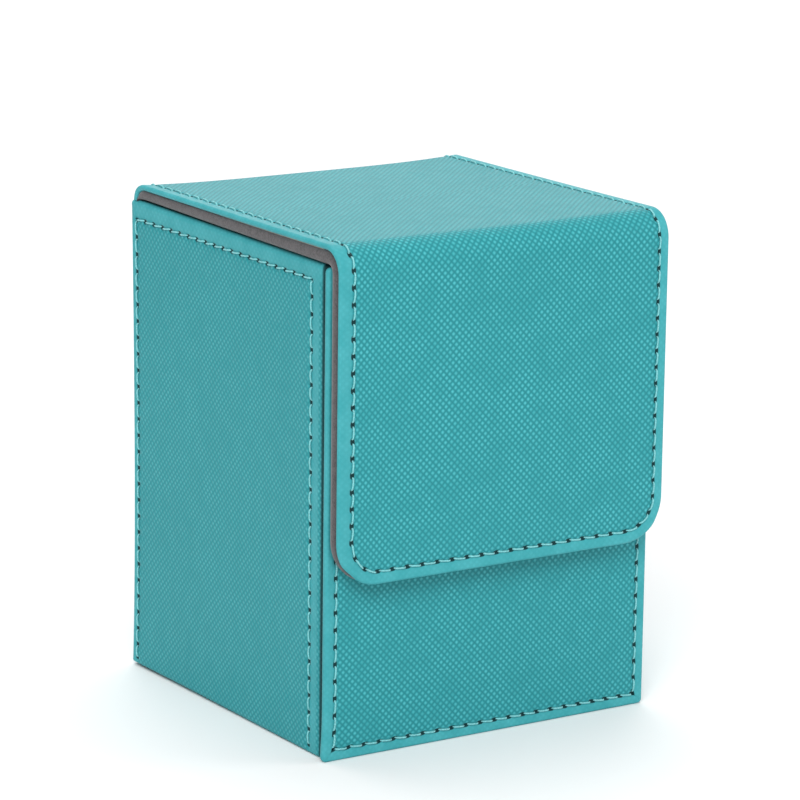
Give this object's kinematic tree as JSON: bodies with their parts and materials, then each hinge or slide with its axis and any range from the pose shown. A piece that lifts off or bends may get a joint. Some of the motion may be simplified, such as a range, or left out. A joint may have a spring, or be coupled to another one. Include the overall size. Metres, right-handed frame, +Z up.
{
  "type": "card deck box",
  "caption": "Stiff leather-covered box for a deck of trading cards, with a hinged padded lid whose magnetic flap folds down over the front.",
  "frame": {"origin": "middle of the footprint's bounding box, on the surface the box stands on", "axes": "+Z up, -Y towards the front flap, +X towards the box's right seen from behind it, along the hinge lines"},
  "size_m": [0.0764, 0.08, 0.102],
  "materials": {
    "leather": "teal polyurethane leather embossed with small staggered lozenges, satin",
    "thread": "light teal bonded sewing thread",
    "microfibre": "grey-brown brushed microfibre",
    "foam": "soft dark foam",
    "greyboard": "dense grey bookbinding board",
    "magnet": "nickel plated disc magnet"
  },
  "bodies": {
    "box": {"base_board": "greyboard", "left_side_board": "greyboard", "right_side_board": "greyboard", "front_board": "greyboard", "back_board": "greyboard", "left_side_cover": "leather", "right_side_cover": "leather", "bottom_cover": "leather", "base_lining": "microfibre", "left_lining": "microfibre", "right_lining": "microfibre", "front_lining": "microfibre", "back_lining": "microfibre", "hinge_strap": "leather", "front_panel_board": "greyboard", "front_panel_cover": "leather", "front_magnets": "magnet", "left_side_thread": "thread", "right_side_thread": "thread", "front_panel_thread": "thread"},
    "rear_hinge": {"rear_hinge_cover": "leather", "rear_hinge_lining": "microfibre"},
    "lid": {"lid_board": "greyboard", "lid_cover": "leather", "lid_foam": "foam", "lid_lining": "microfibre", "lid_thread": "thread"},
    "front_hinge": {"front_hinge_cover": "leather", "front_hinge_lining": "microfibre"},
    "flap": {"flap_board": "greyboard", "flap_cover": "leather", "flap_foam": "foam", "flap_lining": "microfibre", "flap_magnets": "magnet", "flap_thread": "thread"}
  },
  "joints": [
    {"name": "rear_bend_lower", "type": "hinge", "parent": "box", "child": "rear_hinge", "pos_m": [0, 0.0387, 0.0975], "axis": [-1, 0, 0], "range_deg": [0, 90]},
    {"name": "rear_bend_upper", "type": "hinge", "parent": "rear_hinge", "child": "lid", "pos_m": [0, 0.0347, 0.1015], "axis": [-1, 0, 0], "range_deg": [0, 90]},
    {"name": "front_bend_upper", "type": "hinge", "parent": "lid", "child": "front_hinge", "pos_m": [0, -0.0345, 0.1015], "axis": [-1, 0, 0], "range_deg": [0, 45]},
    {"name": "front_bend_lower", "type": "hinge", "parent": "front_hinge", "child": "flap", "pos_m": [0, -0.0395, 0.0965], "axis": [-1, 0, 0], "range_deg": [0, 45]}
  ],
  "couplings": [
    {"joint": "rear_bend_upper", "follows": "rear_bend_lower", "ratio": 1},
    {"joint": "front_bend_lower", "follows": "front_bend_upper", "ratio": 1}
  ]
}
